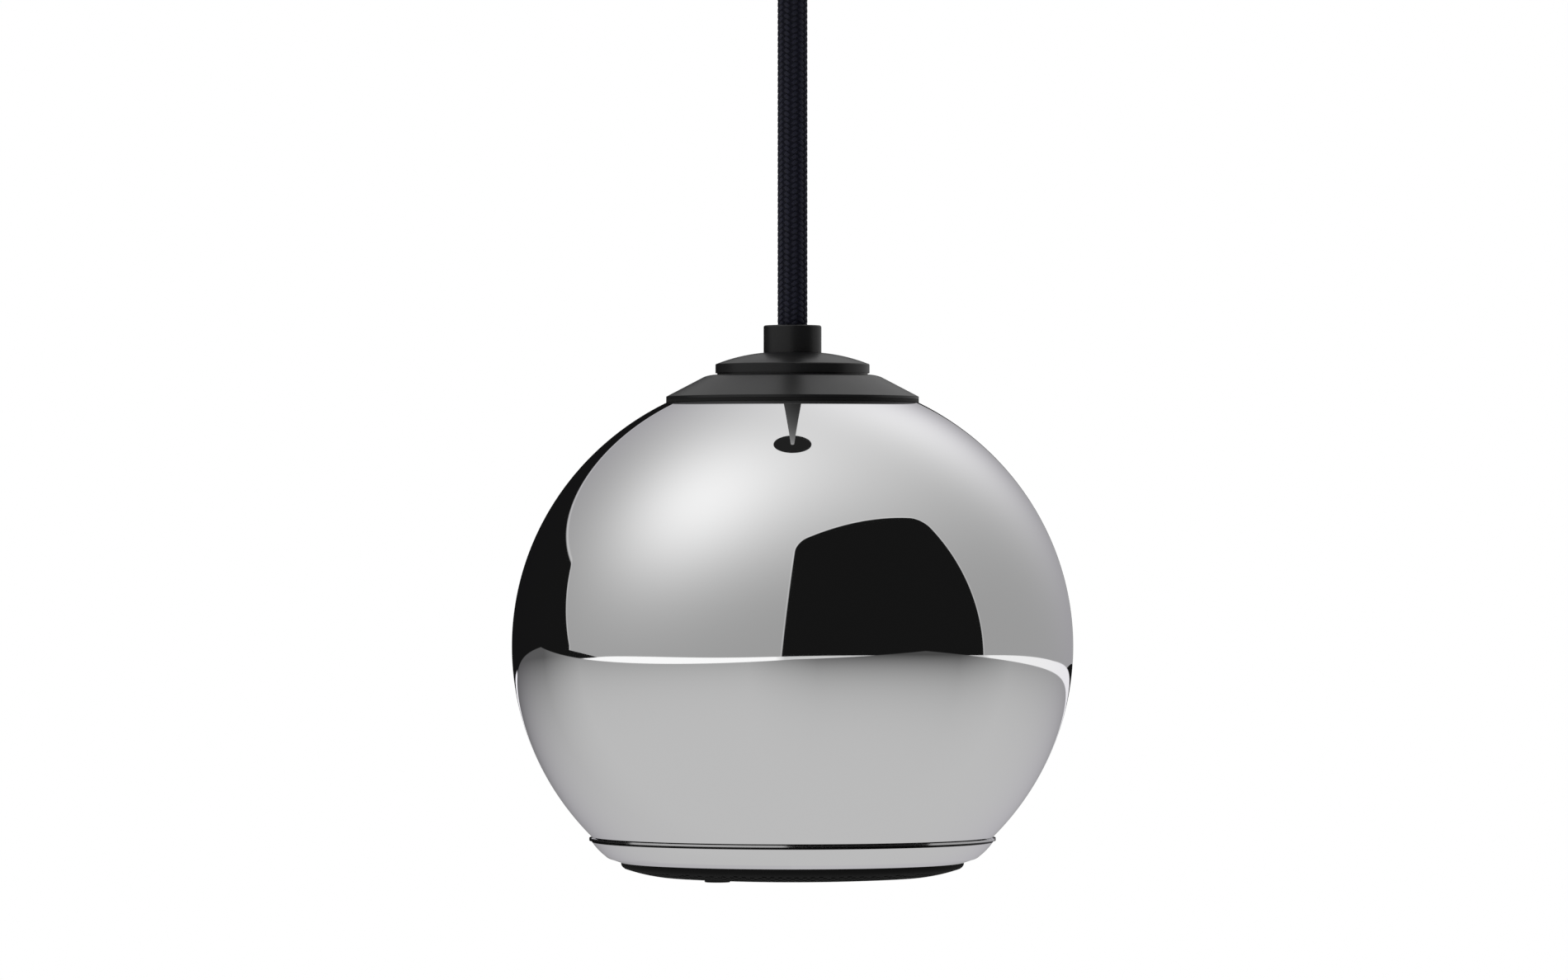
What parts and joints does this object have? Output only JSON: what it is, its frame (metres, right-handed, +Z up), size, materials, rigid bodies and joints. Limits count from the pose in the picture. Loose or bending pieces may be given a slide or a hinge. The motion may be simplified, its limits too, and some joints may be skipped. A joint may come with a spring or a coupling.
{
  "type": "pendant speaker",
  "caption": "Round chrome pendant loudspeaker with a black cap on top and a black grille below, hung from a ceiling rose on its textile cord.",
  "frame": {"origin": "on the ceiling plane, midway between the bracket's two screw holes, on the cord's axis", "axes": "+Z up along the cord, X along the rose bracket, -Y towards the viewer of the picture"},
  "size_m": [0.127, 0.127, 0.2351],
  "materials": {
    "chrome": "polished",
    "black_plastic": "satin",
    "rose_black": "satin",
    "grille_black": "satin",
    "zinc_steel": "satin",
    "basket_black": "satin",
    "ferrite": "matte",
    "rubber_black": "matte",
    "cord_textile": "matte",
    "cone_black": "matte",
    "aluminium_foil": "satin",
    "copper_wire": "satin",
    "spider_cloth": "matte",
    "wadding_white": "matte",
    "block_white": "satin",
    "brass_screw": "satin",
    "board_brown": "satin",
    "tinned_tag": "satin",
    "wire_red": "satin",
    "wire_black": "satin",
    "tinsel_copper": "satin",
    "nylon_clear": "satin"
  },
  "bodies": {
    "housing": {"rose_cover": "rose_black", "rose_bracket": "zinc_steel", "rose_cover_screws": "zinc_steel", "rose_grip": "black_plastic", "rose_grip_screw": "nylon_clear", "rose_grip_nut": "zinc_steel", "terminal_block": "block_white", "terminal_screws": "brass_screw", "rose_lead_red": "wire_red", "rose_lead_black": "wire_black", "cord": "cord_textile", "gland_collar": "black_plastic", "cap_disc": "black_plastic", "cap_skirt": "black_plastic", "cap_gasket": "rubber_black", "cap_stem": "zinc_steel", "clamp_plate": "zinc_steel", "stem_washer": "zinc_steel", "stem_nut": "brass_screw", "cord_anchor": "black_plastic", "anchor_screws": "zinc_steel", "shell": "chrome", "mounting_ring": "chrome", "ring_seal": "rubber_black", "trim_ring": "chrome", "grille": "grille_black", "grille_badge": "grille_black", "driver_gasket": "rubber_black", "basket": "basket_black", "surround": "rubber_black", "spider": "spider_cloth", "top_plate": "zinc_steel", "magnet": "ferrite", "yoke": "zinc_steel", "driver_screws": "zinc_steel", "terminal_board": "board_brown", "terminal_tags": "tinned_tag", "tinsel_lead_red": "tinsel_copper", "tinsel_lead_black": "tinsel_copper", "speaker_lead_red": "wire_red", "speaker_lead_black": "wire_black", "wadding": "wadding_white"},
    "diaphragm": {"cone": "cone_black", "dust_cap": "cone_black", "coil_former": "aluminium_foil", "voice_coil": "copper_wire"}
  },
  "joints": [
    {"name": "cone_travel", "type": "slide", "parent": "housing", "child": "diaphragm", "axis": [0, 0, -1], "range_m": [-0.0025, 0.0025], "stiffness_N_per_m": 1200, "deforming": ["surround", "spider", "tinsel_lead_red", "tinsel_lead_black"]}
  ]
}
